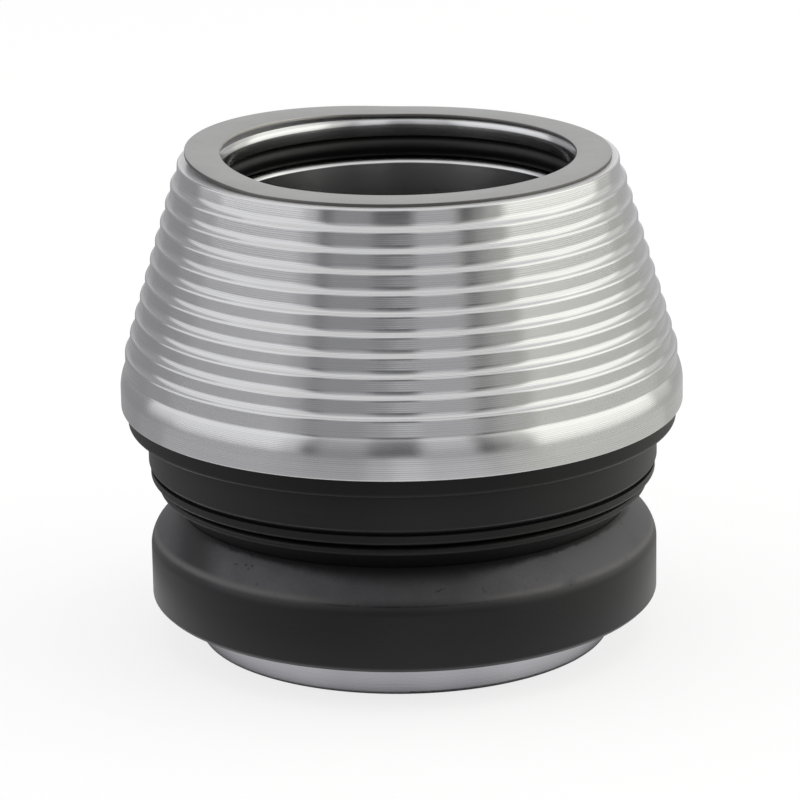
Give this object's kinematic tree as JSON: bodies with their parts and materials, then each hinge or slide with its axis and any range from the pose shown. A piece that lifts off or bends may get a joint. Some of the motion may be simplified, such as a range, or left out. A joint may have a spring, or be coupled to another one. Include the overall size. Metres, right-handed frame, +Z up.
{
  "type": "bicycle headset",
  "caption": "Integrated threadless bicycle headset: crown race, two sealed angular contact bearings, split compression ring and a stepped conical cover with seal, O-ring and shim.",
  "frame": {"origin": "middle of the crown race's underside, on the steering axis", "axes": "+Z up along the steering axis, from the fork crown towards the stem"},
  "size_m": [0.046, 0.046, 0.041],
  "materials": {
    "cover_metal": "bright turned",
    "crown_race_metal": "satin turned",
    "ring_metal": "satin turned",
    "shim_steel": "satin rolled",
    "black_race": "satin black oxide",
    "ball_steel": "polished",
    "cage_plastic": "moulded",
    "seal_rubber": "moulded"
  },
  "bodies": {
    "fork_side": {"crown_race": "crown_race_metal", "lower_inner_race": "black_race"},
    "lower_ball_set": {"lower_balls": "ball_steel", "lower_ball_cage": "cage_plastic"},
    "frame_side": {"lower_outer_race": "black_race", "lower_top_seal": "seal_rubber", "lower_bottom_seal": "seal_rubber", "seal_ring": "seal_rubber", "upper_outer_race": "black_race", "upper_top_seal": "seal_rubber", "upper_bottom_seal": "seal_rubber"},
    "upper_ball_set": {"upper_balls": "ball_steel", "upper_ball_cage": "cage_plastic"},
    "cover_side": {"upper_inner_race": "black_race", "compression_ring": "ring_metal", "top_cover": "cover_metal", "cover_o_ring": "seal_rubber", "cover_seal": "seal_rubber", "shim_washer": "shim_steel"}
  },
  "joints": [
    {"name": "lower_bearing_spin", "type": "hinge", "parent": "fork_side", "child": "frame_side", "pos_m": [0, 0, 0.0072], "axis": [0, 0, 1], "continuous": true},
    {"name": "lower_ball_spin", "type": "hinge", "parent": "fork_side", "child": "lower_ball_set", "pos_m": [0, 0, 0.0072], "axis": [0, 0, 1], "continuous": true},
    {"name": "upper_bearing_spin", "type": "hinge", "parent": "frame_side", "child": "cover_side", "pos_m": [0, 0, 0.0165], "axis": [0, 0, 1], "continuous": true},
    {"name": "upper_ball_spin", "type": "hinge", "parent": "frame_side", "child": "upper_ball_set", "pos_m": [0, 0, 0.0165], "axis": [0, 0, 1], "continuous": true}
  ],
  "couplings": [
    {"joint": "lower_ball_spin", "follows": "lower_bearing_spin", "ratio": 0.5311},
    {"joint": "upper_ball_spin", "follows": "upper_bearing_spin", "ratio": 0.4689}
  ]
}
